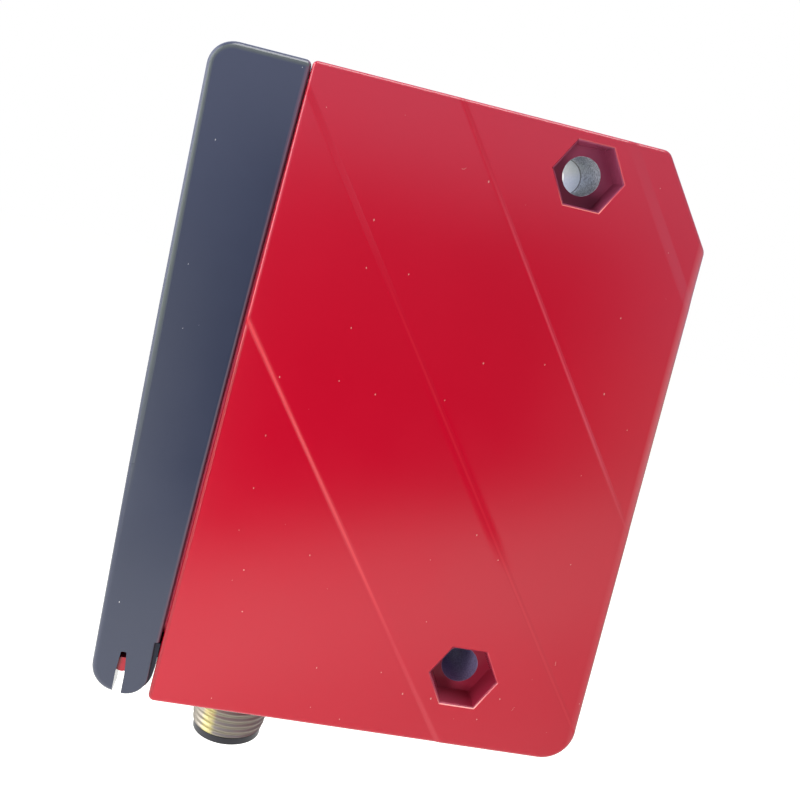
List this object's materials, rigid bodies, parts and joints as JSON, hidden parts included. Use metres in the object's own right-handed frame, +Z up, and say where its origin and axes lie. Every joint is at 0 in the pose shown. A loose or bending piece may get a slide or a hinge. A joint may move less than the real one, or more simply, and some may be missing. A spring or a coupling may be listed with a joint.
{
  "type": "diffuse photoelectric sensor",
  "caption": "Box-shaped diffuse photoelectric sensor: red die-cast housing with nut pockets and slanting low steps, black hinged rear cover and a round threaded plug below.",
  "frame": {"origin": "middle between the two fixing holes, on the middle plane of the width", "axes": "+X towards the optical front, +Y across the width, +Z up, with the connector pointing down"},
  "size_m": [0.0707, 0.03, 0.1011],
  "materials": {
    "housing_paint": "glossy red paint on a die casting",
    "cover_plastic": "satin black",
    "panel_plastic": "fine-grained dark grey",
    "seal_rubber": "matt black",
    "screw_steel": "zinc-plated",
    "knob_plastic": "light grey",
    "control_plastic": "moulded blue",
    "board_laminate": "green solder resist",
    "optics_plastic": "matt black",
    "lens_clear": "clear moulded lens",
    "led_plastic": "clear cast resin",
    "diode_plastic": "dark cast resin",
    "guide_green": "clear green rod",
    "guide_yellow": "clear yellow rod",
    "window_glass": "polished, dark red tint",
    "connector_metal": "nickel-plated",
    "contact_gold": "gold-plated",
    "carrier_plastic": "black"
  },
  "bodies": {
    "body": {"housing": "housing_paint", "control_panel": "panel_plastic", "panel_seal": "seal_rubber", "panel_screws": "screw_steel", "adjuster_body": "control_plastic", "selector_body": "control_plastic", "main_board": "board_laminate", "board_screws": "screw_steel", "board_link": "optics_plastic", "optics_board": "board_laminate", "optics_screws": "screw_steel", "optics_block": "optics_plastic", "emitter_lens": "lens_clear", "receiver_lens": "lens_clear", "emitter_led": "led_plastic", "receiver_diode": "diode_plastic", "indicator_leds": "led_plastic", "power_light_guide": "guide_green", "output_light_guide": "guide_yellow", "window_pane": "window_glass", "window_seal": "seal_rubber", "connector_shell": "connector_metal", "connector_seal": "seal_rubber", "connector_nut": "connector_metal", "contact_carrier": "carrier_plastic", "contact_pins": "contact_gold", "connector_board": "board_laminate"},
    "cover": {"rear_cover": "cover_plastic"},
    "adjuster": {"sensitivity_adjuster": "knob_plastic"},
    "selector": {"light_dark_selector": "knob_plastic"}
  },
  "joints": [
    {"name": "cover_hinge", "type": "hinge", "parent": "body", "child": "cover", "pos_m": [-0.0477, 0, -0.04325], "axis": [0, -1, 0], "range_deg": [0, 110]},
    {"name": "adjuster_turn", "type": "hinge", "parent": "body", "child": "adjuster", "pos_m": [-0.04167, 0, 0.01444], "axis": [0.9986, 0, -0.052], "range_deg": [-135, 135]},
    {"name": "selector_turn", "type": "hinge", "parent": "body", "child": "selector", "pos_m": [-0.04292, 0, -0.00952], "axis": [0.9986, 0, -0.052], "range_deg": [0, 90]}
  ]
}
